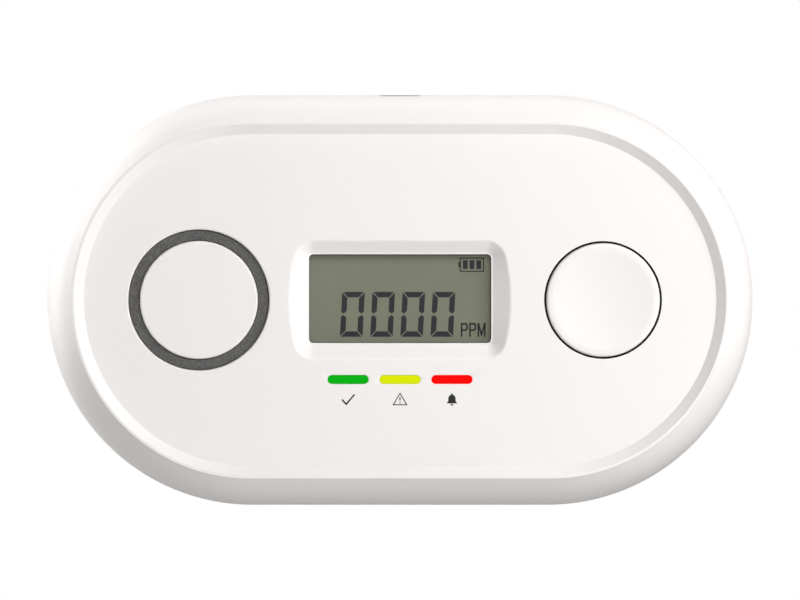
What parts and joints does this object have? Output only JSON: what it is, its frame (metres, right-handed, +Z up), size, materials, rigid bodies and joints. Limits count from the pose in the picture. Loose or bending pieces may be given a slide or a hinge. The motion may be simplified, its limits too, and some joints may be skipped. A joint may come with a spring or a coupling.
{
  "type": "carbon monoxide detector",
  "caption": "Oblong wall-hung carbon monoxide detector with a recessed front, a liquid-crystal readout, a ring-shaped sound slot, a round test button and battery power.",
  "frame": {"origin": "centre of the housing's outline on its rear face, in the plane of the wall", "axes": "+X to the right as seen from the front, +Y into the wall, +Z up; the front faces -Y"},
  "size_m": [0.1204, 0.038, 0.07],
  "materials": {
    "housing_white": "moulded white ABS, fine satin texture",
    "button_white": "moulded white ABS, smooth satin",
    "sounder_grey": "dark grey finely textured plastic",
    "grille_black": "black moulded plastic",
    "lens_clear": "clear polished acrylic",
    "lcd_glass": "grey-green liquid-crystal glass with a reflective back",
    "holder_plastic": "moulded ivory plastic",
    "contact_rubber": "pink and black layered contact rubber",
    "light_green": "translucent green acrylic",
    "light_yellow": "translucent yellow acrylic",
    "light_red": "translucent red acrylic",
    "led_epoxy": "pale moulded epoxy",
    "board_green": "green solder resist over glass-epoxy laminate",
    "chip_black": "matt black moulding compound",
    "chip_ceramic": "tan fired ceramic with tinned ends",
    "capacitor_sleeve": "shrunk plastic sleeve over aluminium",
    "coil_brown": "varnished copper winding on ferrite",
    "nickel_steel": "nickel-plated steel",
    "zinc_steel": "zinc-plated steel",
    "sounder_black": "matt black moulded plastic",
    "brass": "rolled brass",
    "piezo_ceramic": "silvered fired ceramic",
    "foam": "closed-cell black foam",
    "gold_pins": "gold-plated pins",
    "cell_jacket": "printed plastic jacket over a steel can"
  },
  "bodies": {
    "housing": {"front_cover": "housing_white", "rear_cover": "housing_white", "sounder_ring": "sounder_grey", "top_vent_grille": "grille_black", "display_lens": "lens_clear", "display_glass": "lcd_glass", "display_holder": "holder_plastic", "display_contact_strips": "contact_rubber", "light_pipe_green": "light_green", "light_pipe_yellow": "light_yellow", "light_pipe_red": "light_red", "indicator_leds": "led_epoxy", "circuit_board": "board_green", "microcontroller": "chip_black", "chip_parts": "chip_ceramic", "capacitors": "capacitor_sleeve", "sounder_transformer": "coil_brown", "quartz_crystal": "nickel_steel", "sounder_case": "sounder_black", "sounder_plate": "brass", "sounder_ceramic": "piezo_ceramic", "sounder_gasket": "foam", "sounder_pins": "nickel_steel", "sensor_can": "nickel_steel", "sensor_cap": "sounder_black", "sensor_pins": "gold_pins", "test_switch_body": "chip_black", "battery_top": "cell_jacket", "battery_middle": "cell_jacket", "battery_bottom": "cell_jacket", "contact_positive": "nickel_steel", "contact_negative": "nickel_steel", "contact_link_left": "nickel_steel", "contact_link_right": "nickel_steel", "contact_springs": "nickel_steel", "housing_screws": "zinc_steel", "board_screws": "zinc_steel"},
    "door": {"battery_door": "housing_white"},
    "button": {"test_button": "button_white", "test_switch_plunger": "chip_black"}
  },
  "joints": [
    {"name": "button_press", "type": "slide", "parent": "housing", "child": "button", "axis": [0, 1, 0], "range_m": [0, 0.0008], "stiffness_N_per_m": 1500},
    {"name": "battery_door_hinge", "type": "hinge", "parent": "housing", "child": "door", "pos_m": [0, -0.0016, 0.02415], "axis": [1, 0, 0], "range_deg": [0, 90]}
  ]
}
